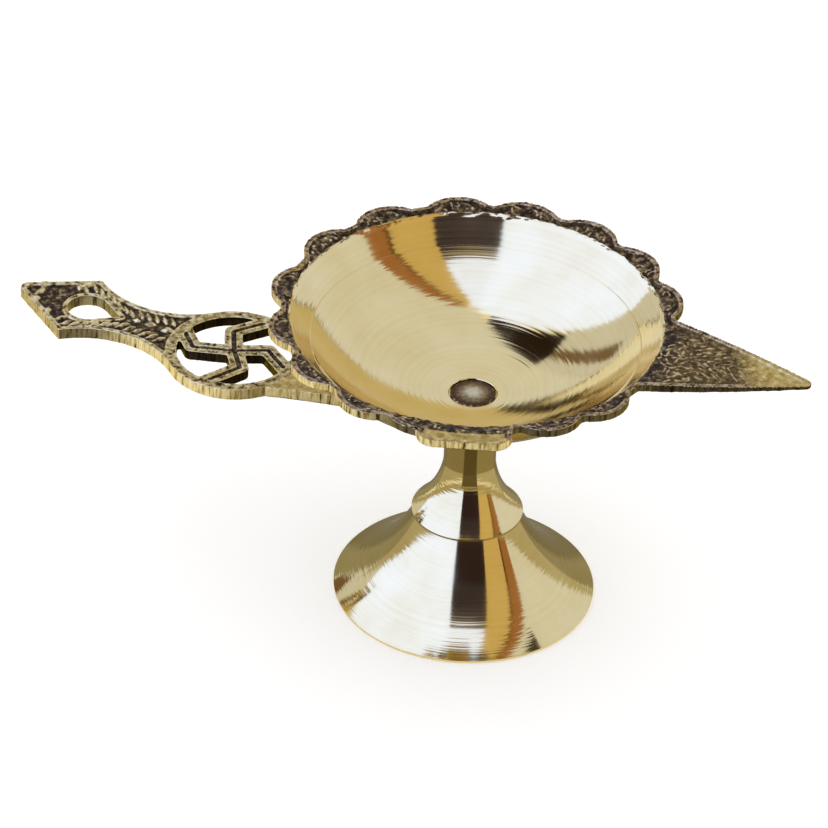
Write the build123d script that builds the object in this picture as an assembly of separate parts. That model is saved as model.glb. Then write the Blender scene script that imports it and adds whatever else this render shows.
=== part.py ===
"""Brass hand lamp for ghee or oil: a turned bowl with a cast scalloped rim and leaf,
a pierced flat handle and a hollow turned foot, all held by one rivet through the middle.

Millimetres, +Z up. The origin is the middle of the foot's standing ring, the leaf points
along +X, and the handle lies the other way.
"""
import os
from math import asin, atan2, cos, hypot, pi, radians, sin, sqrt, tan

from build123d import *

# Stack of pieces from the table up
FOOT_HEIGHT = 39.7
HANDLE_THICKNESS = 2.7
FLOOR_THICKNESS = 3.6
BOWL_DEPTH = 18.0

# Bowl
MOUTH_RADIUS = 36.0
BOWL_WALL = 1.3
DISH_REACH = 18.0
DISH_SLOPE = 23.0
BAND_RUN = 4.2
BAND_SLOPE = 49.0
TOOL_STEP = 0.25
BOSS_RADIUS = 8.0

# Scalloped rim, standing a little above the mouth; bearings run from the leaf
RIM_LIFT = 1.05
RIM_THICKNESS = 1.9
SCALLOP_BEARINGS = (28, 49, 70, 92, 113, 137, 160, 185, 208, 230, 252, 270, 310, 328)
SCALLOP_RADIUS = 7.5
SCALLOP_REACH = 4.35
VALLEY_REACH = 1.6
VALLEY_FILLET = 1.2
FIELD_RUN = 2.6
BORDER_WIDTH = 1.0
BORDER_HEIGHT = 0.5

# Stub of the casting gate, filed flat, on the rim's front
GATE_BEARING = 284.0
GATE_WIDTH = 18.0
GATE_REACH = 6.6
GATE_ROUND = 3.5

# Leaf; its reach and half-width are those of its sides drawn out to a sharp tip
LEAF_REACH = 32.2
LEAF_HALF_WIDTH = 12.2
LEAF_BULGE = 0.7
LEAF_TIP_ROUND = 1.25
LEAF_TIP_THICKNESS = 1.0

# Tang of the handle, measured from the rivet along the handle's bearing
HANDLE_BEARING = 176.0
EYE_RADIUS = 7.6
TANG_HALF_WIDTH = 5.2
TANG_MIDDLE_AT = 27.6
TANG_MIDDLE_HALF_WIDTH = 6.7
TANG_ROOT_HALF_WIDTH = 12.0
FRAME_AT = 49.6
FRAME_SIDE = 0.8

# Round frame and grip, measured from the frame's middle along the grip's own line
GRIP_TURN = -2.7
FRAME_RADIUS = 13.5
FRAME_RIM = 2.2
SHOULDER_ANGLE = 50.0
WAIST_AT = 22.5
WAIST_HALF_WIDTH = 5.2
CORNER_AT = 33.6
CORNER_HALF_WIDTH = 9.7
TIP_AT = 48.6
TIP_SIDE = -1.2
TIP_ROUND = 1.6
HANG_HOLE_AT = 32.0
HANG_HOLE_RADIUS = 4.0
HANG_HOLE_POINT = 7.0

# Hooked cross in the handle's round frame
CROSS_ARM_BEARINGS = (18.0, 126.0, 208.0, 297.0)
CROSS_ARM_LENGTHS = (8.2, 5.8, 6.6, 6.5)
CROSS_HOOK_TURN = 65.0
CROSS_BAR = 3.6
CROSS_GROOVE = 0.9
CROSS_GROOVE_DEPTH = 0.6
WEB_THICKNESS = 2.4
WEB_LAP = 0.8

# Foot
BASE_RADIUS = 25.6
BASE_LIP = 0.6
FLARE_RADIUS = 16.5
FLARE_HEIGHT = 8.2
RING_HEIGHT = 18.5
RING_RADIUS = 10.9
RING_STEP = 0.5
RING_EDGE = 0.4
BELL_RADIUS = 7.9
BELL_HEIGHT = 22.6
NECK_RADIUS = 5.1
NECK_HEIGHT = 30.4
COLLAR_RADIUS = 5.8
COLLAR_HOLLOW = 0.1
FOOT_WALL = 1.9
HOLLOW_ROOF = 23.4

# Rivet
SHANK_RADIUS = 2.4
SHANK_CLEARANCE = 0.1
HEAD_RADIUS = 4.4
HEAD_RECESS = 0.9
HEAD_GAP = 0.25
HEAD_EDGE = 1.0
HEAD_DOME = 0.4
TAIL_RADIUS = 3.9
TAIL_EDGE = 0.6
TAIL_DOME = 1.5

# Heights that follow from the stack
HANDLE_TOP = FOOT_HEIGHT + HANDLE_THICKNESS
FLOOR = HANDLE_TOP + FLOOR_THICKNESS
MOUTH_TOP = FLOOR + BOWL_DEPTH
RIM_TOP = MOUTH_TOP + RIM_LIFT
RIM_UNDER = RIM_TOP - RIM_THICKNESS
BORE_RADIUS = SHANK_RADIUS + SHANK_CLEARANCE


def revolved(*edges):
    """Solid of revolution about Z from a closed profile drawn in X (radius) and Y (height)."""
    return revolve(Plane.XZ * make_face(Curve() + list(edges)), Axis.Z)


def prism(sketch, bottom, top):
    """Sketch raised from one height to another."""
    return extrude(Pos(0, 0, bottom) * sketch, top - bottom)


def cylinder(radius, bottom, top):
    return prism(Circle(radius), bottom, top)


def dome(radius, base, rise):
    """Ball-shaped arc from an edge to the axis, rising (or, below zero, hanging) from its base."""
    ball = (radius**2 + rise**2) / (2 * rise)
    half = asin(radius / ball) / 2
    middle = (abs(ball * sin(half)), base + rise - ball * (1 - cos(half)))
    return ThreePointArc((radius, base), middle, (0, base + rise))


def inset(sketch, margin):
    """Sketch of lines and arcs drawn in by an even margin."""
    edges = []
    for edge in offset(sketch, -margin).edges():
        if edge.geom_type == GeomType.LINE:
            edges.append(Line(edge @ 0, edge @ 1))
        else:
            edges.append(ThreePointArc(edge @ 0, edge @ 0.5, edge @ 1))
    return make_face(Curve() + edges)


def on_arc(centre, radius, slope):
    """Point of a bowl-shaped arc where it climbs at a given slope."""
    return (centre[0] + radius * sin(slope), centre[1] - radius * cos(slope))


def leaf_outline():
    """Leaf with slightly bowed sides, from inside the bowl's mouth to its rounded tip."""
    root_at = sqrt(MOUTH_RADIUS**2 - LEAF_HALF_WIDTH**2)
    tip_at = MOUTH_RADIUS + LEAF_REACH
    middle_at = (root_at + tip_at) / 2
    middle = LEAF_HALF_WIDTH / 2 + LEAF_BULGE
    far_side = ThreePointArc((root_at, LEAF_HALF_WIDTH), (middle_at, middle), (tip_at, 0))
    near_side = ThreePointArc((tip_at, 0), (middle_at, -middle), (root_at, -LEAF_HALF_WIDTH))
    closing = Line((root_at, -LEAF_HALF_WIDTH), (root_at, LEAF_HALF_WIDTH))
    leaf = make_face(Curve() + [far_side, near_side, closing])
    tip = leaf.vertices().sort_by(Axis.X)[-1]
    return fillet(tip, LEAF_TIP_ROUND)


def gate_outline():
    """Filed stub standing out of the rim where the metal was poured in."""
    length = MOUTH_RADIUS + GATE_REACH
    stub = Pos(length / 2, 0) * Rectangle(length, GATE_WIDTH)
    stub = fillet(stub.vertices().sort_by(Axis.X)[-2:], GATE_ROUND)
    return Rot(0, 0, GATE_BEARING) * stub


def rim_outline():
    """Ring of lobes round the mouth with the leaf, the gate's stub and softened valleys."""
    lobe_at = MOUTH_RADIUS + SCALLOP_REACH - SCALLOP_RADIUS
    valley = MOUTH_RADIUS + VALLEY_REACH
    outline = Circle(valley) + leaf_outline() + gate_outline()
    for bearing in SCALLOP_BEARINGS:
        outline += Rot(0, 0, bearing) * Pos(lobe_at, 0) * Circle(SCALLOP_RADIUS)
    return inset(inset(outline, -VALLEY_FILLET), VALLEY_FILLET)


def bowl():
    """Turned bowl and its cast rim and leaf, one casting, bored and recessed for the rivet."""
    dish_slope = radians(DISH_SLOPE)
    dish_radius = DISH_REACH / sin(dish_slope)
    dish_centre = (0, FLOOR + dish_radius)
    dish_edge = on_arc(dish_centre, dish_radius, dish_slope)

    # The wall's arc leaves the dish without a kink and ends at the lathe tool's small step
    band_foot = (MOUTH_RADIUS - BAND_RUN, MOUTH_TOP - BAND_RUN * tan(radians(BAND_SLOPE)))
    wall_top = (band_foot[0] - TOOL_STEP, band_foot[1])
    wall_run = wall_top[0] - dish_edge[0]
    wall_rise = wall_top[1] - dish_edge[1]
    half_turn = atan2(wall_rise, wall_run) - dish_slope
    wall_radius = hypot(wall_run, wall_rise) / (2 * sin(half_turn))
    wall_centre = on_arc(dish_edge, wall_radius, dish_slope + pi)
    wall_middle_slope = dish_slope + half_turn
    wall_top_slope = wall_middle_slope + half_turn
    hollow = revolved(
        ThreePointArc((0, FLOOR), on_arc(dish_centre, dish_radius, dish_slope / 2), dish_edge),
        ThreePointArc(dish_edge, on_arc(wall_centre, wall_radius, wall_middle_slope), wall_top),
        Polyline(
            wall_top,
            band_foot,
            (MOUTH_RADIUS, MOUTH_TOP),
            (MOUTH_RADIUS, RIM_TOP),
            (0, RIM_TOP),
            (0, FLOOR),
        ),
    )

    # The outside keeps an even wall round the dish and the wall's arc, up into the rim's plate
    dish_skin = dish_radius + BOWL_WALL
    wall_skin = wall_radius + BOWL_WALL
    start_slope = asin(BOSS_RADIUS / dish_skin)
    skin_start = on_arc(dish_centre, dish_skin, start_slope)
    skin_edge = on_arc(dish_centre, dish_skin, dish_slope)
    skin_top = on_arc(wall_centre, wall_skin, wall_top_slope)
    skin_rim_height = RIM_TOP - RIM_THICKNESS / 2
    skin_rim_radius = skin_top[0] + (skin_rim_height - skin_top[1]) / tan(radians(BAND_SLOPE))
    body = revolved(
        Polyline((0, HANDLE_TOP), (BOSS_RADIUS, HANDLE_TOP), skin_start),
        ThreePointArc(
            skin_start,
            on_arc(dish_centre, dish_skin, (start_slope + dish_slope) / 2),
            skin_edge,
        ),
        ThreePointArc(skin_edge, on_arc(wall_centre, wall_skin, wall_middle_slope), skin_top),
        Polyline(
            skin_top,
            (skin_rim_radius, skin_rim_height),
            (0, skin_rim_height),
            (0, HANDLE_TOP),
        ),
    )

    outline = rim_outline()
    body += prism(outline, RIM_UNDER, RIM_TOP)

    # The leaf thins from below towards its tip
    tip_at = MOUTH_RADIUS + LEAF_REACH
    thin_from = MOUTH_RADIUS + SCALLOP_REACH
    thinning = Polyline(
        (thin_from, RIM_UNDER),
        (tip_at, RIM_TOP - LEAF_TIP_THICKNESS),
        (tip_at, RIM_UNDER),
        close=True,
    )
    body -= extrude(Plane.XZ * make_face(thinning), LEAF_HALF_WIDTH, both=True)

    # A border stands along the outline, round a lower field that slopes down to the mouth
    field_height = RIM_TOP - BORDER_HEIGHT
    above_field = revolved(
        Polyline(
            (0, MOUTH_TOP),
            (MOUTH_RADIUS, MOUTH_TOP),
            (MOUTH_RADIUS + FIELD_RUN, field_height),
            (tip_at, field_height),
            (tip_at, RIM_TOP),
            (0, RIM_TOP),
            close=True,
        )
    )
    body -= prism(inset(outline, BORDER_WIDTH), MOUTH_TOP, RIM_TOP) & above_field

    recess = cylinder(HEAD_RADIUS + HEAD_GAP, FLOOR - HEAD_RECESS, RIM_TOP)
    bore = cylinder(BORE_RADIUS, HANDLE_TOP, RIM_TOP)
    return body - hollow - recess - bore


def grip_side(side):
    """One edge of the grip from the round frame to the corner before its pointed end."""
    shoulder = radians(SHOULDER_ANGLE)
    return ThreePointArc(
        (FRAME_RADIUS * cos(shoulder), side * FRAME_RADIUS * sin(shoulder)),
        (WAIST_AT, side * WAIST_HALF_WIDTH),
        (CORNER_AT, side * CORNER_HALF_WIDTH),
    )


def grip_outline():
    """Round frame, waist and pointed end, along +X from the frame's middle."""
    near = grip_side(1)
    far = grip_side(-1)
    tip = (TIP_AT, TIP_SIDE)
    grip = make_face(
        Curve() + [near, Line(near @ 1, tip), Line(tip, far @ 1), far, Line(near @ 0, far @ 0)]
    )
    grip = fillet(grip.vertices().sort_by(Axis.X)[-1], TIP_ROUND)
    return grip + Circle(FRAME_RADIUS)


def tang_side(side):
    """One edge of the tang that runs under the bowl, from the frame to the rivet's eye."""
    middle_side = FRAME_SIDE * TANG_MIDDLE_AT / FRAME_AT
    return ThreePointArc(
        (FRAME_AT, FRAME_SIDE + side * TANG_ROOT_HALF_WIDTH),
        (TANG_MIDDLE_AT, middle_side + side * TANG_MIDDLE_HALF_WIDTH),
        (0, side * TANG_HALF_WIDTH),
    )


def tang_outline():
    """Tang and its eye, along +X from the rivet to the frame's middle."""
    near = tang_side(1)
    far = tang_side(-1)
    tang = make_face(Curve() + [near, far, Line(near @ 0, far @ 0), Line(near @ 1, far @ 1)])
    return tang + Circle(EYE_RADIUS)


def hooked_cross(width):
    """Four arms of a given width, each bent clockwise at its elbow towards the frame."""
    reach = 2 * FRAME_RADIUS
    cross = Sketch()
    for bearing, length in zip(CROSS_ARM_BEARINGS, CROSS_ARM_LENGTHS):
        elbow = Pos(length, 0)
        straight = Pos(length / 2, 0) * Rectangle(length, width)
        hook = elbow * Rot(0, 0, -CROSS_HOOK_TURN) * Pos(reach / 2, 0) * Rectangle(reach, width)
        bent = straight + hook + elbow * Circle(width / 2)
        cross += Rot(0, 0, bearing) * bent
    return cross + Circle(width / 2)


def hang_hole():
    """Drop-shaped hole in the grip's end, its point towards the bowl."""
    sweep = asin(HANG_HOLE_RADIUS / HANG_HOLE_POINT)
    touch = (-HANG_HOLE_RADIUS * sin(sweep), HANG_HOLE_RADIUS * cos(sweep))
    point = (-HANG_HOLE_POINT, 0)
    wedge = make_face(Polyline(point, touch, (touch[0], -touch[1]), close=True))
    return Pos(HANG_HOLE_AT, 0) * (Circle(HANG_HOLE_RADIUS) + wedge)


def handle():
    """Flat pierced casting, clamped by its eye between the bowl and the foot."""
    place = Pos(FRAME_AT, FRAME_SIDE) * Rot(0, 0, GRIP_TURN)
    opening_radius = FRAME_RADIUS - FRAME_RIM
    opening = Circle(opening_radius)
    outline = grip_outline()
    holes = opening - hooked_cross(CROSS_BAR) + hang_hole()
    plate = tang_outline() + place * outline - place * holes - Circle(BORE_RADIUS)
    body = prism(plate, FOOT_HEIGHT, HANDLE_TOP)

    # The openwork is thinner than the rest, hollowed from below, and grooved along its bars
    web = place * Circle(opening_radius + WEB_LAP)
    body -= prism(web, FOOT_HEIGHT, HANDLE_TOP - WEB_THICKNESS)
    grooves = place * (hooked_cross(CROSS_GROOVE) & opening)
    body -= prism(grooves, HANDLE_TOP - CROSS_GROOVE_DEPTH, HANDLE_TOP)

    # A border stands along the grip's outline and round the drop-shaped hole
    field = inset(outline, BORDER_WIDTH) - inset(hang_hole(), -BORDER_WIDTH) - Circle(FRAME_RADIUS)
    body -= prism(place * field, HANDLE_TOP - BORDER_HEIGHT, HANDLE_TOP)
    return Rot(0, 0, HANDLE_BEARING) * body


def foot():
    """Hollow turned foot: flared base, stepped bell, slim neck and a collar under the handle."""
    under_step = (RING_RADIUS - RING_STEP, RING_HEIGHT)
    neck = (NECK_RADIUS, NECK_HEIGHT)
    collar_middle = (NECK_RADIUS + COLLAR_HOLLOW, (NECK_HEIGHT + FOOT_HEIGHT) / 2)
    ring_top = (RING_RADIUS, RING_HEIGHT + RING_EDGE)
    body = revolved(
        Polyline((0, 0), (BASE_RADIUS, 0), (BASE_RADIUS, BASE_LIP)),
        ThreePointArc((BASE_RADIUS, BASE_LIP), (FLARE_RADIUS, FLARE_HEIGHT), under_step),
        Polyline(under_step, (RING_RADIUS, RING_HEIGHT), ring_top),
        ThreePointArc(ring_top, (BELL_RADIUS, BELL_HEIGHT), neck),
        ThreePointArc(neck, collar_middle, (COLLAR_RADIUS, FOOT_HEIGHT)),
        Polyline((COLLAR_RADIUS, FOOT_HEIGHT), (0, FOOT_HEIGHT), (0, 0)),
    )

    # The hollow keeps an even wall up to a flat roof where the rivet is clenched
    inner_top = (under_step[0] - FOOT_WALL, RING_HEIGHT)
    roof_edge = (BELL_RADIUS - FOOT_WALL - RING_STEP, HOLLOW_ROOF)
    hollow = revolved(
        ThreePointArc(
            (BASE_RADIUS - FOOT_WALL, 0),
            (FLARE_RADIUS - FOOT_WALL, FLARE_HEIGHT - FOOT_WALL / 2),
            inner_top,
        ),
        Polyline(inner_top, roof_edge, (0, HOLLOW_ROOF), (0, 0), (BASE_RADIUS - FOOT_WALL, 0)),
    )
    return body - hollow - cylinder(BORE_RADIUS, HOLLOW_ROOF, FOOT_HEIGHT)


def rivet():
    """Stud with a low domed head in the bowl's floor and a tail clenched inside the foot."""
    head_bottom = FLOOR - HEAD_RECESS
    head_edge = head_bottom + HEAD_EDGE
    tail_edge = HOLLOW_ROOF - TAIL_EDGE
    return revolved(
        dome(TAIL_RADIUS, tail_edge, -TAIL_DOME),
        Polyline(
            (TAIL_RADIUS, tail_edge),
            (TAIL_RADIUS, HOLLOW_ROOF),
            (SHANK_RADIUS, HOLLOW_ROOF),
            (SHANK_RADIUS, head_bottom),
            (HEAD_RADIUS, head_bottom),
            (HEAD_RADIUS, head_edge),
        ),
        dome(HEAD_RADIUS, head_edge, HEAD_DOME),
        Line((0, head_edge + HEAD_DOME), (0, tail_edge - TAIL_DOME)),
    )


os.makedirs("parts", exist_ok=True)
for name, make in (("bowl", bowl), ("handle", handle), ("foot", foot), ("rivet", rivet)):
    export_step(make(), f"parts/{name}.step")
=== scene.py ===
"""Brass hand lamp for ghee or oil, dressed on its CAD frame: a turned bowl and foot, a cast
scalloped rim with a leaf, a cast pierced handle, and the rivet that holds them. Metres, +Z up."""

import random
from math import asin, atan2, cos, degrees, hypot, pi, radians, sin, sqrt, tan

import bpy
from mathutils import Matrix, Vector


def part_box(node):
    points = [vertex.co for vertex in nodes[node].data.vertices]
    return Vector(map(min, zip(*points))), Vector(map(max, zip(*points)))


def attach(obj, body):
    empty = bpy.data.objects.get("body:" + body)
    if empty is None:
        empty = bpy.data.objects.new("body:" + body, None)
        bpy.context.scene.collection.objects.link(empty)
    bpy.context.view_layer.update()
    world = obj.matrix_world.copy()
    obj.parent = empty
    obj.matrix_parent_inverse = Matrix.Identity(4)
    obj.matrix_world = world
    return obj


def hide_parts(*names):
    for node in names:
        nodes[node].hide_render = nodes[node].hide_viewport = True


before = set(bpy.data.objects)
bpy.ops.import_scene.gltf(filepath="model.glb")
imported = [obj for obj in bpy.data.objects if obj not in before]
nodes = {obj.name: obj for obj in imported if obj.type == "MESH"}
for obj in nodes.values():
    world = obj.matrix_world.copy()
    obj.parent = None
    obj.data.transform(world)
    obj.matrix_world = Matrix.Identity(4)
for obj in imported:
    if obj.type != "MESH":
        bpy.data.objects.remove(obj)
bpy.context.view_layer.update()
MM = 0.001
random.seed(7)


def top_of(node):
    """Height of a CAD piece's highest point, in millimetres."""
    return (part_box(node)[1] / MM).z


# Sizes in millimetres and angles in degrees, mostly under their names in the part's source

HANDLE_TOP = top_of("handle")
RIM_TOP = top_of("bowl")
COLLAR_TOP = top_of("foot")

# Bowl
FLOOR_THICKNESS = 3.6
BOWL_DEPTH = 18.0
MOUTH_RADIUS = 36.0
BOWL_WALL = 1.3
DISH_REACH = 18.0
DISH_SLOPE = 23.0
BAND_RUN = 4.2
BAND_SLOPE = 49.0
TOOL_STEP = 0.25
BOSS_RADIUS = 8.0
FLOOR = HANDLE_TOP + FLOOR_THICKNESS
MOUTH_TOP = FLOOR + BOWL_DEPTH

# Rim, leaf and the gate's stub
RIM_THICKNESS = 1.9
BORDER_HEIGHT = 0.5
FIELD_RUN = 2.6
FIELD_RISE = 0.55
SCALLOP_BEARINGS = (28, 49, 70, 92, 113, 137, 160, 185, 208, 230, 252, 270, 310, 328)
GATE_BEARING = 284.0
LEAF_TIP_AT = 68.2
RIM_UNDER = RIM_TOP - RIM_THICKNESS
RIM_FIELD = RIM_TOP - BORDER_HEIGHT

# Handle; a drop is the hang hole with its border
HANDLE_BEARING = 176.0
FRAME_AT = 49.6
FRAME_SIDE = 0.8
GRIP_TURN = -2.7
FRAME_RADIUS = 13.5
SHOULDER_ANGLE = 50.0
WAIST_AT = 22.5
WAIST_HALF_WIDTH = 5.2
CORNER_AT = 33.6
CORNER_HALF_WIDTH = 9.7
TIP_AT = 48.6
HANG_HOLE_AT = 32.0
DROP_RADIUS = 5.0
DROP_TOUCH_AT = 29.1
DROP_POINT_AT = 23.2
DROP_FLARE = 0.696
HANDLE_FIELD = HANDLE_TOP - BORDER_HEIGHT

# Foot
BASE_RADIUS = 25.6
BASE_LIP = 0.6
FLARE_RADIUS = 16.5
FLARE_HEIGHT = 8.2
RING_HEIGHT = 18.5
RING_RADIUS = 10.9
RING_STEP = 0.5
RING_EDGE = 0.4
BELL_RADIUS = 7.9
BELL_HEIGHT = 22.6
NECK_RADIUS = 5.1
NECK_HEIGHT = 30.4
COLLAR_RADIUS = 5.8
COLLAR_HOLLOW = 0.1
FOOT_WALL = 1.9
HOLLOW_ROOF = 23.4

# Rivet and its bore
BORE_RADIUS = 2.5
SHANK_RADIUS = 2.4
HEAD_RADIUS = 4.4
HEAD_RECESS = 0.9
HEAD_GAP = 0.25
TAIL_END = 21.3
# Tail from its end to the foot's roof: radius, height, parts
TAIL_PROFILE = ((2.2, 21.75, 4), (3.9, 22.8, 4), (3.9, HOLLOW_ROOF, 2))
# Head from its seat to its crown: radius, height over the seat, parts
HEAD_PROFILE = (
    (4.3, 0.0, 3), (HEAD_RADIUS, 0.1, 1), (HEAD_RADIUS, 0.85, 3), (4.2, 1.05, 2),
    (2.2, 1.3, 10), (0.0, 1.4, 10),
)

# Casting: fineness of the fused skin, size of the grain, depth of the groove in the borders
CAST_VOXEL = 0.21
CAST_GRAIN = 0.9
GROOVE_DEPTH = 0.3


# Shared steps

def start(kind, name, **settings):
    """Adds one primitive with nothing else selected, and names it."""
    bpy.ops.object.select_all(action="DESELECT")
    getattr(bpy.ops.mesh, f"primitive_{kind}_add")(**settings)
    piece = bpy.context.object
    piece.name = name
    return piece


def select_only(piece):
    """Makes a piece the only one selected, and the active one."""
    bpy.ops.object.select_all(action="DESELECT")
    piece.select_set(True)
    bpy.context.view_layer.objects.active = piece


def pick(piece, kind, wanted):
    """Opens the active piece for editing with just the wanted corners (VERT) or faces (FACE)."""
    bpy.ops.object.mode_set(mode="EDIT")
    bpy.ops.mesh.select_all(action="DESELECT")
    bpy.ops.mesh.select_mode(type=kind)
    bpy.ops.object.mode_set(mode="OBJECT")
    for part in piece.data.vertices if kind == "VERT" else piece.data.polygons:
        part.select = wanted(part)
    bpy.ops.object.mode_set(mode="EDIT")


def finish_modifier(piece, kind, name, **settings):
    """Adds a modifier with its settings and applies it."""
    select_only(piece)
    modifier = piece.modifiers.new(name, kind)
    for key, value in settings.items():
        setattr(modifier, key, value)
    bpy.ops.object.modifier_apply(modifier=modifier.name)


def draw_step(step):
    """Draws a profile on by one step in radius and height."""
    bpy.ops.mesh.extrude_region_move(
        TRANSFORM_OT_translate={"value": (step.x * MM, 0, step.y * MM)}
    )


def turn_profile(name, first, moves, steps=256):
    """Draws a closed lathe profile point by point from its first corner, then spins it round Z.

    A move is ("line", radius, height, parts) or ("arc", centre, turn in degrees, parts).
    """
    piece = start("plane", name, size=MM)
    bpy.ops.object.mode_set(mode="EDIT")
    bpy.ops.mesh.merge(type="CENTER")
    bpy.ops.transform.translate(value=(first[0] * MM, 0, first[1] * MM))
    place = Vector(first)
    for kind, *numbers in moves:
        if kind == "line":
            radius, height, parts = numbers
            step = (Vector((radius, height)) - place) / parts
            for _ in range(parts):
                draw_step(step)
            place = Vector((radius, height))
        else:
            centre, turn, parts = numbers
            spoke = place - Vector(centre)
            for _ in range(parts):
                turned = Matrix.Rotation(radians(turn / parts), 2) @ spoke
                draw_step(turned - spoke)
                spoke = turned
            place = Vector(centre) + spoke
    bpy.ops.mesh.select_all(action="SELECT")
    bpy.ops.mesh.spin(steps=steps, angle=2 * pi, center=(0, 0, 0), axis=(0, 0, 1))
    bpy.ops.mesh.select_all(action="SELECT")
    bpy.ops.mesh.remove_doubles(threshold=0.0005 * MM)
    bpy.ops.mesh.normals_make_consistent(inside=False)
    bpy.ops.object.mode_set(mode="OBJECT")
    bpy.ops.object.shade_smooth_by_angle(angle=radians(30))
    return piece


def arc_turn(centre, begin, end):
    """Signed angle in degrees from one point to another, seen from an arc's centre."""
    a = atan2(begin[1] - centre[1], begin[0] - centre[0])
    b = atan2(end[1] - centre[1], end[0] - centre[0])
    return degrees((b - a + pi) % (2 * pi) - pi)


def centre_of(a, b, c):
    """Centre of the circle through three points."""
    (ax, ay), (bx, by), (cx, cy) = a, b, c
    d = 2 * (ax * (by - cy) + bx * (cy - ay) + cx * (ay - by))
    aa, bb, cc = ax * ax + ay * ay, bx * bx + by * by, cx * cx + cy * cy
    return (
        (aa * (by - cy) + bb * (cy - ay) + cc * (ay - by)) / d,
        (aa * (cx - bx) + bb * (ax - cx) + cc * (bx - ax)) / d,
    )


def ramp_between(value, low, high):
    """Runs from 0 to 1 while a value runs from low to high."""
    return min(1.0, max(0.0, (value - low) / (high - low)))


# Turned pieces

def make_bowl():
    """Bowl turned inside and out, up to the cast rim; the same arcs as its CAD solid."""
    slope = radians(DISH_SLOPE)
    band_slope = radians(BAND_SLOPE)
    dish = DISH_REACH / sin(slope)
    dish_centre = (0, FLOOR + dish)
    dish_edge = (dish * sin(slope), dish_centre[1] - dish * cos(slope))
    band_foot = (MOUTH_RADIUS - BAND_RUN, MOUTH_TOP - BAND_RUN * tan(band_slope))
    wall_top = (band_foot[0] - TOOL_STEP, band_foot[1])
    run, rise = wall_top[0] - dish_edge[0], wall_top[1] - dish_edge[1]
    half = atan2(rise, run) - slope
    wall = hypot(run, rise) / (2 * sin(half))
    wall_centre = (dish_edge[0] - wall * sin(slope), dish_edge[1] + wall * cos(slope))
    top = slope + 2 * half
    skin_top = (
        wall_centre[0] + (wall + BOWL_WALL) * sin(top),
        wall_centre[1] - (wall + BOWL_WALL) * cos(top),
    )
    rim_foot = (skin_top[0] + (RIM_UNDER - skin_top[1]) / tan(band_slope), RIM_UNDER)
    boss_slope = degrees(asin(BOSS_RADIUS / (dish + BOWL_WALL)))
    # The recess for the rivet's head has a slightly broken edge
    recess, broken = HEAD_RADIUS + HEAD_GAP, 0.12
    recess_edge = dish_centre[1] - sqrt(dish**2 - recess**2)
    dish_turn = degrees(slope) - degrees(asin(recess / dish))
    # The lip falls off steeply where it runs out into the cast rim
    lip_run, lip_fall = 0.15, 0.7
    piece = turn_profile(
        "bowl_turned",
        (BORE_RADIUS, HANDLE_TOP),
        [
            ("line", BORE_RADIUS, FLOOR - HEAD_RECESS, 3),
            ("line", recess, FLOOR - HEAD_RECESS, 3),
            ("line", recess, recess_edge - broken, 2),
            ("line", recess + broken, recess_edge + 0.01, 1),
            ("arc", dish_centre, dish_turn, 36),
            ("arc", wall_centre, degrees(2 * half), 48),
            ("line", *band_foot, 2),
            ("line", MOUTH_RADIUS, MOUTH_TOP, 18),
            ("line", MOUTH_RADIUS + lip_run, MOUTH_TOP - lip_fall, 1),
            ("line", *rim_foot, 3),
            ("line", *skin_top, 4),
            ("arc", wall_centre, -degrees(2 * half), 36),
            ("arc", dish_centre, boss_slope - degrees(slope), 12),
            ("line", BOSS_RADIUS, HANDLE_TOP, 4),
            ("line", BORE_RADIUS, HANDLE_TOP, 5),
        ],
    )
    # The tool left this edge ragged
    ragged = 0.3
    pick(piece, "VERT", lambda corner: corner.co.z > (MOUTH_TOP - ragged) * MM)
    bpy.ops.transform.vertex_random(offset=ragged * MM, uniform=0, normal=0, seed=5)
    bpy.ops.object.mode_set(mode="OBJECT")
    return piece


def make_foot():
    """Foot turned to its flared base, stepped bell, neck and collar, and hollow underneath."""
    base = (BASE_RADIUS, BASE_LIP)
    under_step = (RING_RADIUS - RING_STEP, RING_HEIGHT)
    ring = (RING_RADIUS, RING_HEIGHT + RING_EDGE)
    neck, collar = (NECK_RADIUS, NECK_HEIGHT), (COLLAR_RADIUS, COLLAR_TOP)
    collar_middle = (NECK_RADIUS + COLLAR_HOLLOW, (NECK_HEIGHT + COLLAR_TOP) / 2)
    flare = centre_of(base, (FLARE_RADIUS, FLARE_HEIGHT), under_step)
    bell = centre_of(ring, (BELL_RADIUS, BELL_HEIGHT), neck)
    throat = centre_of(neck, collar_middle, collar)
    inner_base = (BASE_RADIUS - FOOT_WALL, 0)
    inner_middle = (FLARE_RADIUS - FOOT_WALL, FLARE_HEIGHT - FOOT_WALL / 2)
    inner_top = (under_step[0] - FOOT_WALL, RING_HEIGHT)
    inner = centre_of(inner_base, inner_middle, inner_top)
    roof_edge = BELL_RADIUS - FOOT_WALL - RING_STEP
    # The standing edge is worn a little round
    worn_run, worn_rise = 0.25, 0.2
    return turn_profile(
        "foot_turned",
        (BORE_RADIUS, HOLLOW_ROOF),
        [
            ("line", roof_edge, HOLLOW_ROOF, 4),
            ("line", *inner_top, 6),
            ("arc", inner, arc_turn(inner, inner_top, inner_base), 40),
            ("line", BASE_RADIUS - worn_run, 0, 3),
            ("line", BASE_RADIUS, worn_rise, 1),
            ("line", *base, 1),
            ("arc", flare, arc_turn(flare, base, under_step), 90),
            ("line", RING_RADIUS, RING_HEIGHT, 2),
            ("line", *ring, 2),
            ("arc", bell, arc_turn(bell, ring, neck), 60),
            ("arc", throat, arc_turn(throat, neck, collar), 36),
            ("line", BORE_RADIUS, COLLAR_TOP, 6),
            ("line", BORE_RADIUS, HOLLOW_ROOF, 12),
        ],
    )


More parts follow.
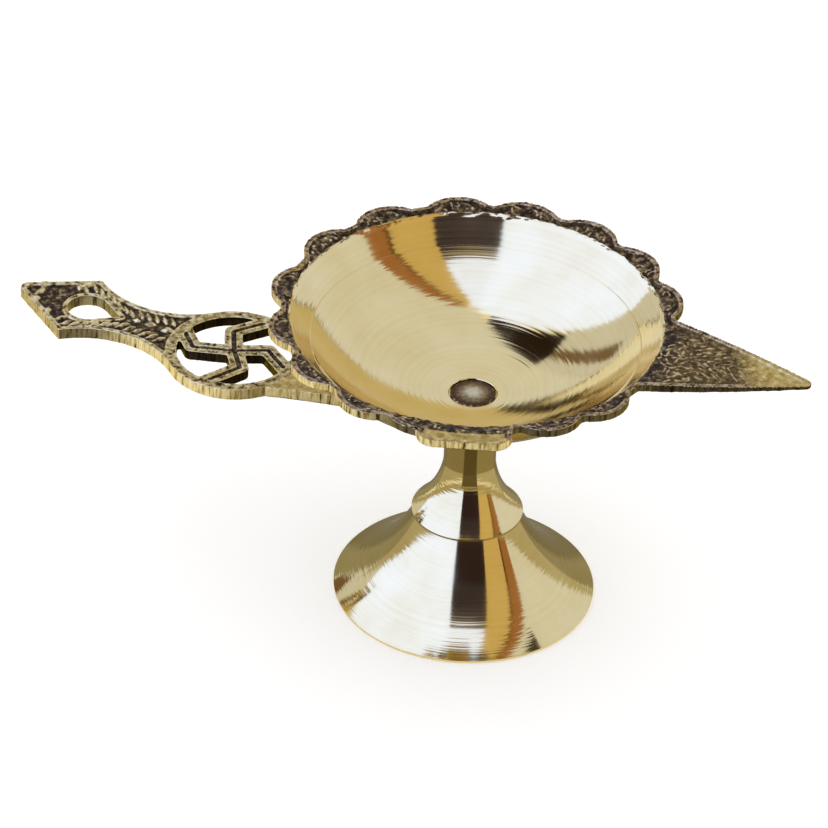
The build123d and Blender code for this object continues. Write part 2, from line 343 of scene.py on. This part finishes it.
def make_rivet():
    """Rivet with a low hammered head in the bowl's floor and a clenched tail in the foot."""
    seat = FLOOR - HEAD_RECESS
    return turn_profile(
        "rivet_stud",
        (0, TAIL_END),
        [("line", *point) for point in TAIL_PROFILE]
        + [("line", SHANK_RADIUS, HOLLOW_ROOF, 2), ("line", SHANK_RADIUS, seat, 20)]
        + [("line", radius, seat + rise, parts) for radius, rise, parts in HEAD_PROFILE],
        steps=96,
    )


# Cast pieces

def cast_copy(node, name):
    """Copy of a CAD solid's mesh, its loose triangles merged into one skin of flat faces."""
    piece = bpy.data.objects.new(name, nodes[node].data.copy())
    bpy.context.scene.collection.objects.link(piece)
    piece.data.materials.clear()
    select_only(piece)
    bpy.ops.object.mode_set(mode="EDIT")
    bpy.ops.mesh.select_all(action="SELECT")
    bpy.ops.mesh.remove_doubles(threshold=0.001 * MM)
    bpy.ops.mesh.dissolve_limited(angle_limit=radians(0.5))
    bpy.ops.object.mode_set(mode="OBJECT")
    return piece


def cut(piece, cutter):
    """Takes a cutter's shape away from a piece."""
    finish_modifier(piece, "BOOLEAN", "cut", operation="DIFFERENCE", solver="EXACT", object=cutter)
    bpy.data.objects.remove(cutter)


def groove_border(piece, top, width, plain):
    """Insets the border's flat top and sinks its middle, which leaves two fine ridges.

    The rule plain tells where the border stays without a groove.
    """
    def on_top(face):
        return face.normal.z > 0.99 and abs(face.center.z / MM - top) < 0.02

    select_only(piece)
    pick(piece, "FACE", on_top)
    bpy.ops.mesh.inset(thickness=width * MM, depth=0, use_even_offset=True)
    bpy.ops.mesh.select_mode(type="VERT")
    bpy.ops.object.mode_set(mode="OBJECT")
    for vertex in piece.data.vertices:
        if vertex.select and plain(vertex.co / MM):
            vertex.select = False
    bpy.ops.object.mode_set(mode="EDIT")
    bpy.ops.transform.translate(value=(0, 0, -GROOVE_DEPTH * MM))
    bpy.ops.object.mode_set(mode="OBJECT")


def stroke_model():
    """One raised stroke of the casting pattern: a low drop, blunt at one end."""
    stroke = start("uv_sphere", "stroke", segments=12, ring_count=8, radius=1)
    pick(stroke, "VERT", lambda vertex: vertex.co.x > 0.3)
    bpy.ops.transform.resize(value=(1, 0.55, 0.8), center_override=(0, 0, 0))
    bpy.ops.object.mode_set(mode="OBJECT")
    return stroke


def lay_strokes(piece, strokes):
    """Copies the stroke to each place (x, y, z, heading, length, width, height) and joins all."""
    model = stroke_model()
    copies = []
    for x, y, z, heading, length, width, height in strokes:
        copy = bpy.data.objects.new("stroke", model.data.copy())
        bpy.context.scene.collection.objects.link(copy)
        copy.data.transform(
            Matrix.Translation((x * MM, y * MM, z * MM))
            @ Matrix.Rotation(heading, 4, "Z")
            @ Matrix.Diagonal((length / 2 * MM, width / 2 * MM, height * MM, 1))
        )
        copies.append(copy)
    bpy.data.objects.remove(model)
    select_only(piece)
    for copy in copies:
        copy.select_set(True)
    bpy.ops.object.join()


def cast_skin(piece, grain_depth):
    """Fuses body and strokes into one softened skin with the grain of a sand casting."""
    finish_modifier(piece, "REMESH", "fuse", mode="VOXEL", voxel_size=CAST_VOXEL * MM)
    finish_modifier(piece, "SMOOTH", "soften", factor=0.5, iterations=2)
    texture = bpy.data.textures.new(piece.name + "_grain", "CLOUDS")
    texture.noise_scale = CAST_GRAIN * MM
    texture.noise_depth = 2
    finish_modifier(
        piece, "DISPLACE", "grain",
        texture=texture, texture_coords="LOCAL", strength=grain_depth * MM, mid_level=1.0,
    )
    select_only(piece)
    bpy.ops.object.shade_smooth()


def curl(x, y, z, heading, length, bend, width, height):
    """Strokes that follow one bent line and thin out towards its end."""
    parts = max(2, round(length / 0.6))
    step = length / parts
    strokes = []
    for part in range(parts):
        fade = 1 - 0.5 * part / parts
        strokes.append((x, y, z, heading, step * 2.2, width * fade, height * fade))
        x += step * cos(heading)
        y += step * sin(heading)
        heading += bend / parts
    return strokes


def lobe_strokes():
    """Scrolls in the field of each lobe: an arch along its border and loose flecks round it."""
    strokes = []
    for bearing in SCALLOP_BEARINGS:
        angle = radians(bearing)
        outward = Vector((cos(angle), sin(angle)))
        along = Vector((-sin(angle), cos(angle)))
        place = outward * (36.9 + random.uniform(-0.1, 0.2)) - along * random.uniform(2.6, 3.2)
        strokes += curl(place.x, place.y, MOUTH_TOP + 0.25, angle + random.uniform(0.1, 0.5),
                        random.uniform(5.0, 6.4), random.uniform(2.2, 2.9), 0.75, 0.5)
        for _ in range(7):
            place = outward * random.uniform(36.7, 38.3) + along * random.uniform(-4.6, 4.6)
            across = min(place.length - MOUTH_RADIUS, FIELD_RUN)
            ground = MOUTH_TOP + across * FIELD_RISE / FIELD_RUN
            strokes += curl(place.x, place.y, ground, angle + random.uniform(0, 2 * pi),
                            random.uniform(0.8, 1.7), random.uniform(-1.5, 1.5),
                            random.uniform(0.45, 0.65), random.uniform(0.3, 0.42))
    return strokes


def leaf_strokes():
    """Feathered veins of the leaf, in uneven slanting rows on both sides of its midline.

    The rows near the bowl are loose flecks. A vein that would run into the border is left out.
    """
    first_row, row_step, loose_until = 36.4, 1.55, 42
    strokes = []
    for row in range(15):
        along = first_row + row * row_step
        half = (LEAF_TIP_AT - along) * 0.36 - 1.3
        for side in (-1, 1):
            across = random.uniform(0.2, 0.8)
            while across < half:
                heading = side * random.uniform(0.25, 0.95)
                if along < loose_until:
                    heading = random.uniform(-1.6, 1.6)
                begin = along + across * 0.5 + random.uniform(-0.5, 0.5)
                length = random.uniform(0.9, 2.4)
                end = begin + length * cos(heading)
                reach = abs(side * across + length * sin(heading))
                if reach < (LEAF_TIP_AT - end) * 0.37 - 1.7:
                    strokes += curl(begin, side * across, RIM_FIELD, heading, length,
                                    side * random.uniform(-0.9, 0.5), random.uniform(0.4, 0.75),
                                    random.uniform(0.22, 0.38))
                across += random.uniform(1.0, 1.7)
    return strokes


def make_rim():
    """Cast rim and leaf: cut from the bowl's solid at its mouth, grooved and covered with flecks.

    The leaf's tip and the gate's stub have no groove, and the cut at the mouth is ragged.
    """
    def plain(point):
        return point.x > 57.5 or (point.y < -38.5 and 7 < point.x < 16)

    rim = cast_copy("bowl", "rim_cast")
    groove_border(rim, RIM_TOP, 0.28, plain)
    overlap, ragged = 0.3, 0.4
    mouth = start("cylinder", "mouth", vertices=220, radius=(MOUTH_RADIUS - overlap) * MM,
                  depth=60 * MM, location=(0, 0, MOUTH_TOP * MM))
    bpy.ops.object.mode_set(mode="EDIT")
    bpy.ops.transform.vertex_random(offset=ragged * MM, uniform=0, normal=0, seed=3)
    bpy.ops.object.mode_set(mode="OBJECT")
    cut(rim, mouth)
    depth = 40
    below = start("cylinder", "below", vertices=64, radius=120 * MM, depth=depth * MM,
                  location=(0, 0, (RIM_UNDER - depth / 2) * MM))
    cut(rim, below)
    lay_strokes(rim, lobe_strokes() + leaf_strokes())
    cast_skin(rim, 0.12)
    return rim


# From the grip's own frame, with the round frame's middle at 0 and +X to the tip, to the lamp's
GRIP_PLACE = (
    Matrix.Rotation(radians(HANDLE_BEARING), 4, "Z")
    @ Matrix.Translation((FRAME_AT, FRAME_SIDE, 0))
    @ Matrix.Rotation(radians(GRIP_TURN), 4, "Z")
)
# Three beads on the grip's line, then the ribs on its end: along, across, heading in degrees,
# length, width, height
GRIP_MARKS = [
    (14.9, -0.2, 35, 2.6, 1.9, 0.7), (18.7, -0.5, 20, 2.4, 1.7, 0.7),
    (21.6, -0.5, 0, 1.8, 1.1, 0.6),
    (35.6, -7.0, 75, 3.6, 1.5, 0.62), (36.6, -5.6, 110, 2.2, 1.5, 0.62),
    (43.3, -3.2, 95, 3.0, 1.5, 0.62), (43.0, -0.6, 75, 3.4, 1.5, 0.62),
    (42.5, 1.6, 110, 1.8, 1.5, 0.62), (46.0, -1.4, 70, 1.8, 1.5, 0.62),
    (38.6, 4.4, 120, 2.0, 1.5, 0.62),
]


def grip_half_width(along):
    """Half the grip's width between the round frame and its pointed end."""
    if along > CORNER_AT:
        return CORNER_HALF_WIDTH * (TIP_AT - along) / (TIP_AT - CORNER_AT)
    corner = (CORNER_AT, CORNER_HALF_WIDTH)
    angle = radians(SHOULDER_ANGLE)
    shoulder = (FRAME_RADIUS * cos(angle), FRAME_RADIUS * sin(angle))
    centre = centre_of(shoulder, (WAIST_AT, WAIST_HALF_WIDTH), corner)
    bend = hypot(corner[0] - centre[0], corner[1] - centre[1])
    return centre[1] - sqrt(bend**2 - (along - centre[0]) ** 2)


def drop_half_width(along):
    """Half the width of the drop-shaped hang hole with its border."""
    if along > DROP_TOUCH_AT:
        return sqrt(max(0, DROP_RADIUS**2 - (along - HANG_HOLE_AT) ** 2))
    return max(0.0, (along - DROP_POINT_AT) * DROP_FLARE)


def fishbone_marks():
    """Slanted strokes in the room between the grip's border and its beads or its hole."""
    first, last, step, slant = 13.2, 36.5, 1.7, 52
    border, bead_room, bare_room = 1.1, 1.4, 0.3
    marks = []
    for side in (-1, 1):
        along = first
        while along < last:
            outer = grip_half_width(along) - border
            inner = max(drop_half_width(along), bead_room if along < 22 else bare_room)
            room, middle = outer - inner, (inner + outer) / 2
            if room > 0.7 and hypot(along, middle) > FRAME_RADIUS + 0.7:
                length = min(3.4, room * 1.25 + 0.5)
                marks.append((along, side * middle, side * slant, length, 0.85, 0.6))
            along += step
    return marks


def grip_strokes():
    """Fishbone strokes along both sides of the grip, beads on its line, ribs on its end."""
    strokes = []
    for along, across, heading, length, width, height in fishbone_marks() + GRIP_MARKS:
        place = GRIP_PLACE @ Vector((along, across, HANDLE_FIELD))
        turned = radians(heading) + radians(HANDLE_BEARING + GRIP_TURN)
        strokes.append((place.x, place.y, place.z, turned, length, width, height))
    return strokes


def make_handle():
    """Cast handle: its solid with a grooved border and ring, and the fishbone relief.

    The cross and the tang have no groove.
    """
    def plain(point):
        local = GRIP_PLACE.inverted() @ point
        from_ring = hypot(local.x, local.y)
        return from_ring < 11.5 or (local.x < 0 and from_ring > 13.4)

    handle = cast_copy("handle", "handle_cast")
    groove_border(handle, HANDLE_TOP, 0.3, plain)
    lay_strokes(handle, grip_strokes())
    cast_skin(handle, 0.1)
    return handle


# Wear and painted light and shade of the cast pieces, as rules over a point in millimetres; each
# runs from 0 to 1

def rim_filing_and_painted_light(point):
    """How golden the rim's side is: filed bright on the gate's stub; on the left and in front filed
    and brightened as painted light where the light falls; almost black on the leaf and dull
    elsewhere, as painted shade."""
    bearing = degrees(atan2(point.y, point.x)) % 360
    if abs(bearing - GATE_BEARING) < 13:
        return 1.0
    if point.x > 38:
        return 0.04
    return max(0.14, ramp_between(bearing, 150, 165) * ramp_between(bearing, 268, 250))


def rim_bare(point):
    """Where the rim's top is ground smooth: the leaf's tip and the gate's stub, and a trace all
    over the leaf."""
    bearing = degrees(atan2(point.y, point.x)) % 360
    if abs(bearing - GATE_BEARING) < 11 and hypot(point.x, point.y) > 39.2:
        return 0.75
    trace = 0.09 * ramp_between(point.x, 37.0, 41.0)
    return max(trace, ramp_between(point.x + 0.5 * point.y, 51.0, 58.0))


def handle_filing_and_painted_shade(point):
    """How golden the handle's side is: painted dark between the bars of the cross and dull in the
    hang hole, which is painted shade on the walls inside the openings; outside brightest near the
    round frame, fading along the waist."""
    local = GRIP_PLACE.inverted() @ point
    if hypot(local.x, local.y) < 12.4:
        return 0.0
    if abs(local.y) < drop_half_width(local.x) - 0.5:
        return 0.35
    if local.x > CORNER_AT:
        return 0.7
    return 0.2 + 0.75 * ramp_between(local.x, 28, 18)


def handle_bare(point):
    """Where the handle's top is smooth: the tang between the round frame and the bowl."""
    local = GRIP_PLACE.inverted() @ point
    if hypot(local.x, local.y) < 13.2:
        return 0.0
    return 0.85 * ramp_between(local.x, -8.0, -10.0)


def mark(piece, gold, bare):
    """Stores both rules on the piece, point by point, for its finish to read."""
    for name, rule in (("gold", gold), ("bare", bare)):
        values = piece.data.attributes.new(name, "FLOAT", "POINT")
        values.data.foreach_set("value", [rule(v.co / MM) for v in piece.data.vertices])


bowl = make_bowl()
foot = make_foot()
rivet = make_rivet()
rim = make_rim()
handle = make_handle()
mark(rim, rim_filing_and_painted_light, rim_bare)
mark(handle, handle_filing_and_painted_shade, handle_bare)
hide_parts("bowl")
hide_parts("bowl")
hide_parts("foot")
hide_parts("rivet")
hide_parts("handle")
for piece, slot in (
    (bowl, "turned_brass"), (foot, "turned_brass"), (rivet, "dull_brass"),
    (rim, "turned_brass"), (handle, "antiqued_brass"),
):
    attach(piece, "root")


# Shader steps

def linear(hex_colour):
    """Linear colour from an sRGB hex value."""
    channels = (int(hex_colour[i:i + 2], 16) / 255 for i in (1, 3, 5))
    return (*(c / 12.92 if c <= 0.04045 else ((c + 0.055) / 1.055) ** 2.4 for c in channels), 1)


def set_inputs(tree, node, values):
    """Sets or links a node's inputs; a node as a value stands for its first output."""
    for key, value in values:
        if isinstance(value, bpy.types.Node):
            value = value.outputs[0]
        if isinstance(value, bpy.types.NodeSocket):
            tree.links.new(value, node.inputs[key])
        else:
            node.inputs[key].default_value = value


def add(tree, kind, values=(), **settings):
    """Adds a shader node, sets its properties, and sets or links its inputs."""
    node = tree.nodes.new("ShaderNode" + kind)
    for key, value in settings.items():
        setattr(node, key, value)
    set_inputs(tree, node, values)
    return node


def noise(tree, where, size, detail, roughness=0.5):
    """Noise whose features have about the given size in millimetres."""
    return add(tree, "TexNoise", [("Vector", where), ("Scale", 1 / (size * MM)),
                                  ("Detail", detail), ("Roughness", roughness)])


def colours(tree, factor, *stops):
    """Colour that follows a factor; a stop is a place and an sRGB hex value."""
    ramp = add(tree, "ValToRGB", [(0, factor)])
    elements = ramp.color_ramp.elements
    while len(elements) < len(stops):
        elements.new(0.5)
    for element, (place, colour) in zip(elements, stops):
        element.position = place
        element.color = linear(colour)
    return ramp


def mix(tree, share, first, second):
    """First colour where the share is 0, second where it is 1."""
    return add(tree, "MixRGB", [(0, share), (1, first), (2, second)])


def reckon(tree, operation, *values):
    """One step of arithmetic over two or three values."""
    return add(tree, "Math", enumerate(values), operation=operation)


def span(tree, value, low, high, first=0.0, last=1.0):
    """Runs from first to last while a value runs from low to high."""
    return add(tree, "MapRange", [("Value", value), ("From Min", low), ("From Max", high),
                                  ("To Min", first), ("To Max", last)])


def from_axis(tree, axis):
    """Distance from the lamp's upright axis."""
    flat = add(tree, "CombineXYZ", [(0, axis.outputs[0]), (1, axis.outputs[1])])
    return add(tree, "VectorMath", [(0, flat)], operation="LENGTH").outputs["Value"]


def new_material(name):
    """New material with its node tree and its main shader."""
    material = bpy.data.materials.new(name)
    material.use_nodes = True
    tree = material.node_tree
    return material, tree, tree.nodes["Principled BSDF"]


def dress(piece, material):
    """Gives a piece one material all over."""
    piece.data.materials.clear()
    piece.data.materials.append(material)


# Finishes

def turned_brass(name, climb, groove):
    """Brass polished on the lathe: a mirror with fine rings, which comb every reflected edge.

    The rings follow radius plus climb times height; groove is their depth in millimetres.
    """
    material, tree, shader = new_material(name)
    where = add(tree, "TexCoord").outputs["Object"]
    axis = add(tree, "SeparateXYZ", [(0, where)])
    along = reckon(tree, "MULTIPLY_ADD", axis.outputs[2], climb, from_axis(tree, axis))
    # Tool marks about 1 mm apart with finer ones between
    rings = add(tree, "TexNoise", [("W", along), ("Scale", 1 / (1.1 * MM)), ("Detail", 2.5),
                                   ("Roughness", 0.55)], noise_dimensions="1D")
    bump = add(tree, "Bump", [("Height", rings), ("Distance", groove * MM), ("Strength", 1.0)])
    # Smudges a few millimetres wide where hands and cleaning dulled the polish
    smudge = noise(tree, where, 9, 4.0)
    shade = reckon(tree, "MULTIPLY_ADD", rings, 0.35, smudge)
    tint = colours(tree, shade, (0.42, "#E2C986"), (0.67, "#E8D190"), (0.92, "#ECD799"))
    dull = span(tree, smudge, 0.35, 0.7, 0.06, 0.13)
    set_inputs(tree, shader, [("Base Color", tint), ("Roughness", dull), ("Normal", bump),
                              ("Metallic", 1.0)])
    return material


def cast_brass(name, top, flat_colours, ridge_colour):
    """Sand-cast brass, darkened and rubbed back: black-brown hollows, olive flats, bright ridges,
    sides filed golden with dark upright marks, and places ground smooth. The sides also carry
    painted light and shade: golden where the light falls, near black away from it and inside
    openings.

    Top is the height of the flats in millimetres; flat_colours run from their darkest to their
    lightest flecks.
    """
    material, tree, shader = new_material(name)
    where = add(tree, "TexCoord").outputs["Object"]
    height = add(tree, "SeparateXYZ", [(0, where)]).outputs[2]
    form = add(tree, "NewGeometry")
    facing_up = add(tree, "SeparateXYZ", [(0, form.outputs["Normal"])]).outputs[2]
    gold = add(tree, "Attribute", attribute_name="gold").outputs["Fac"]
    bare = add(tree, "Attribute", attribute_name="bare").outputs["Fac"]
    fleck = noise(tree, where, 1.2, 5.0, 0.6)
    # Hollows keep the black-brown stain, unevenly
    stain = colours(tree, fleck, (0.4, "#231A15"), (0.54, "#443629"), (0.7, "#84704F"))
    # Whatever stands near the top is rubbed to olive brass
    flats = colours(tree, fleck, *zip((0.38, 0.46, 0.6), flat_colours))
    rise = span(tree, height, (top - 0.46) * MM, (top - 0.28) * MM)
    ground = mix(tree, rise, stain, flats)
    # Ridges are rubbed bright
    worn = reckon(tree, "MULTIPLY_ADD", fleck, 0.08, form.outputs["Pointiness"])
    rubbed = span(tree, worn, 0.54, 0.61)
    relief = mix(tree, rubbed, ground, linear(ridge_colour))
    # Ground places are smooth olive gold
    smooth = colours(tree, fleck, (0.35, "#AE904A"), (0.65, "#E0C67A"))
    topside = mix(tree, bare, relief, smooth)
    # File marks run from top to bottom, about 0.6 mm apart with finer ones between
    upright = add(tree, "Mapping", [("Vector", where), ("Scale", (1, 1, 0.1))])
    marks = noise(tree, upright, 0.6, 4.0, 0.65)
    filed = colours(tree, marks, (0.34, "#4E4022"), (0.43, "#CFB468"), (0.56, "#F8E4A4"))
    # Painted light and shade on the sides: the gold rule picks the golden filed colour where light
    # falls, and this near-black colour, painted shade, away from it and inside openings
    dull = colours(tree, marks, (0.36, "#15110C"), (0.64, "#40341E"))
    sides = mix(tree, gold, dull, filed)
    side = span(tree, facing_up, 0.3, 0.55, 1.0, 0.0)
    colour = mix(tree, side, topside, sides)
    polish = span(tree, rubbed, 0.0, 1.0, 0.5, 0.3)
    # The stain is a dull coat; whatever is rubbed, ground or filed is bare metal
    metal = rise
    for share in (rubbed, bare, side):
        metal = reckon(tree, "MAXIMUM", metal, share)
    set_inputs(tree, shader, [
        ("Base Color", colour), ("Roughness", polish), ("Metallic", metal),
        ("Specular IOR Level", 0.06), ("Specular Tint", linear("#F0DC9A")),
    ])
    return material


def hammered_brass(name):
    """Soft brass of a rivet head, hammered down: grey-white grain in a brown rim, with light
    specks at its edge."""
    material, tree, shader = new_material(name)
    where = add(tree, "TexCoord").outputs["Object"]
    radius = from_axis(tree, add(tree, "SeparateXYZ", [(0, where)]))
    grain = noise(tree, where, 0.7, 5.0)
    # Zones by radius, broken up by the grain, over a run of 6 mm
    spread = reckon(tree, "MULTIPLY_ADD", grain, 2.4 * MM, radius)
    zone = colours(tree, reckon(tree, "MULTIPLY", spread, 1 / (6 * MM)),
                   (0.32, "#D4CAA2"), (0.6, "#8E7650"), (0.82, "#4C3420"), (0.9, "#573E28"),
                   (0.98, "#C0AA74"))
    bump = add(tree, "Bump", [("Height", grain), ("Distance", 0.12 * MM), ("Strength", 1.0)])
    set_inputs(tree, shader, [("Base Color", zone), ("Normal", bump), ("Metallic", 1.0),
                              ("Roughness", 0.42)])
    return material


dress(bowl, turned_brass("lathe_polished_brass_bowl", 0.7, 0.02))
dress(foot, turned_brass("lathe_polished_brass_foot", -1.0, 0.022))
dress(rim, cast_brass("antiqued_cast_brass_rim", RIM_TOP,
                      ("#33261C", "#846A4A", "#C8AE80"), "#D8C190"))
dress(handle, cast_brass("antiqued_cast_brass_handle", HANDLE_TOP,
                         ("#3C2F1B", "#BCA162", "#F2E0A4"), "#F0DC9A"))
dress(rivet, hammered_brass("hammered_rivet_brass"))


# Studio: a pale floor, and boards and a bench round the lamp that only the brass mirrors

SKY = "#A1B4FF"
WALL = "#DAE2FF"
# Boards: name, bearings from and to, degrees from the zenith down, colour, strength
BOARDS = (
    ("sky_window", (165, 270), (0, 90), SKY, 3.05),
    ("sky_top", (270, 320), (0, 30), SKY, 2.9),
    ("curtain_edge", (270, 320), (30, 35), "#9A97A0", 1.0),
    ("curtain_top", (270, 320), (35, 42.5), "#4A4556", 1.0),
    ("curtain_middle", (270, 320), (42.5, 57.5), "#3E3848", 1.0),
    ("dark_curtain", (270, 320), (57.5, 90), "#332831", 1.0),
    ("tan_board", (320, 350), (5, 90), "#D8C290", 1.0),
    ("wood_edge", (350, 352.5), (5, 90), "#54382C", 1.0),
    ("wood_board", (352.5, 365), (5, 90), "#A87750", 1.0),
    ("back_wall", (365, 495), (0, 90), WALL, 1.12),
    ("corner_wall", (135, 142.5), (42.5, 90), WALL, 1.0),
    ("door_edge", (142.5, 150), (42.5, 75), "#7A6654", 1.0),
    ("low_shelf", (142.5, 150), (75, 90), WALL, 1.0),
    ("side_wall", (150, 165), (42.5, 90), WALL, 1.0),
    ("dark_doorway", (135, 162.5), (7.5, 42.5), "#2A211E", 1.0),
)
# Bench: name, bearings from and to, reach and height in millimetres, colours of card and edge
BENCHES = (
    ("bench_front", (262.5, 317.5), 75, 22, "#5E543A", "#685E44"),
    ("bench_right", (317.5, 410), 60, 16, "#958D70", "#BDB9A6"),
    ("bench_back", (50, 170), 60, 13, "#827D68", "#9A9682"),
    ("bench_left", (170, 262.5), 60, 16, "#8C846A", "#B6B29E"),
)
BOARD_BALL = 2.5  # metres
BENCH_INNER = 26.4
FAR_TABLE = (170, 2400)
CARD_LIFT = 0.1
SEGMENTS = 144


def glowing(sheet, name, colour, strength=1.0):
    """Makes a sheet of the studio an even light of one colour that only the metal mirrors."""
    material = bpy.data.materials.new(name)
    material.use_nodes = True
    tree = material.node_tree
    tree.nodes.clear()
    glow = add(tree, "Emission", [("Color", linear(colour)), ("Strength", strength)])
    add(tree, "OutputMaterial", [("Surface", glow)])
    dress(sheet, material)
    sheet.visible_camera = False
    sheet.visible_diffuse = False
    sheet.visible_shadow = False


def keep_sector(sheet, turn, tilt=(-1, 181)):
    """Deletes each face with its middle outside a run of bearings or of degrees from the zenith."""
    def outside(face):
        bearing = degrees(atan2(face.center.y, face.center.x))
        fall = degrees(atan2(hypot(face.center.x, face.center.y), face.center.z))
        return not ((bearing - turn[0]) % 360 < turn[1] - turn[0] and tilt[0] < fall < tilt[1])

    pick(sheet, "FACE", outside)
    bpy.ops.mesh.delete(type="FACE")
    bpy.ops.object.mode_set(mode="OBJECT")


def board(name, turn, tilt, colour, strength):
    """Bent board on a ball round the lamp."""
    sheet = start("uv_sphere", name, segments=SEGMENTS, ring_count=SEGMENTS // 2,
                  radius=BOARD_BALL)
    keep_sector(sheet, turn, tilt)
    glowing(sheet, name, colour, strength)


def ring_card(name, inner, reach):
    """Flat ring just over the floor, between two radii in millimetres."""
    card = start("circle", name, vertices=SEGMENTS, radius=reach * MM, fill_type="NGON",
                 location=(0, 0, CARD_LIFT * MM))
    bpy.ops.object.mode_set(mode="EDIT")
    bpy.ops.mesh.select_all(action="SELECT")
    bpy.ops.mesh.inset(thickness=(reach - inner) * MM, depth=0)
    bpy.ops.mesh.delete(type="FACE")
    bpy.ops.object.mode_set(mode="OBJECT")
    return card


def bench(name, turn, reach, height, card_colour, edge_colour):
    """Sector of the bench round the lamp with its low edge, which the neck and foot mirror."""
    card = ring_card(name + "_card", BENCH_INNER, reach)
    keep_sector(card, turn)
    glowing(card, name + "_card", card_colour)
    edge = start("cylinder", name + "_edge", vertices=SEGMENTS, radius=reach * MM,
                 depth=height * MM, end_fill_type="NOTHING",
                 location=(0, 0, (height / 2 + CARD_LIFT) * MM))
    keep_sector(edge, turn)
    glowing(edge, name + "_edge", edge_colour)


for row in BOARDS:
    board(*row)
for row in BENCHES:
    bench(*row)
glowing(ring_card("far_table", *FAR_TABLE), "far_table", "#B4AD92")

floor = start("plane", "studio_floor", size=12)
paper, paper_tree, paper_shader = new_material("matt_white_paper")
# The camera and the brass see the paper a little brighter, so that it runs out to white
ray = add(paper_tree, "LightPath")
mirrored = reckon(paper_tree, "MAXIMUM", ray.outputs["Is Glossy Ray"],
                  ray.outputs["Is Transmission Ray"])
seen = reckon(paper_tree, "MAXIMUM", ray.outputs["Is Camera Ray"], mirrored)
set_inputs(paper_tree, paper_shader, [
    ("Base Color", (0.9, 0.9, 0.9, 1)), ("Roughness", 0.9),
    ("Emission Color", (0.24, 0.24, 0.24, 1)), ("Emission Strength", seen),
])
dress(floor, paper)

world = bpy.data.worlds.new("studio")
bpy.context.scene.world = world
world.use_nodes = True
set_inputs(world.node_tree, world.node_tree.nodes["Background"],
           [("Color", (1, 1, 1, 1)), ("Strength", 1.0)])


# Camera at the photograph's viewing angle, solved from the bowl's mouth and the foot's base

CAMERA_PLACE = (0.28416365, -1.00421305, 0.78277667)
CAMERA_TURN = (54.553212, -2.057257, 17.877820)

camera_data = bpy.data.cameras.new("photo_camera")
camera_data.sensor_width = 36
camera_data.lens = 288
camera = bpy.data.objects.new("photo_camera", camera_data)
camera.location = CAMERA_PLACE
camera.rotation_euler = [radians(angle) for angle in CAMERA_TURN]
bpy.context.scene.collection.objects.link(camera)
bpy.context.scene.camera = camera
bpy.context.scene.view_settings.view_transform = "Standard"
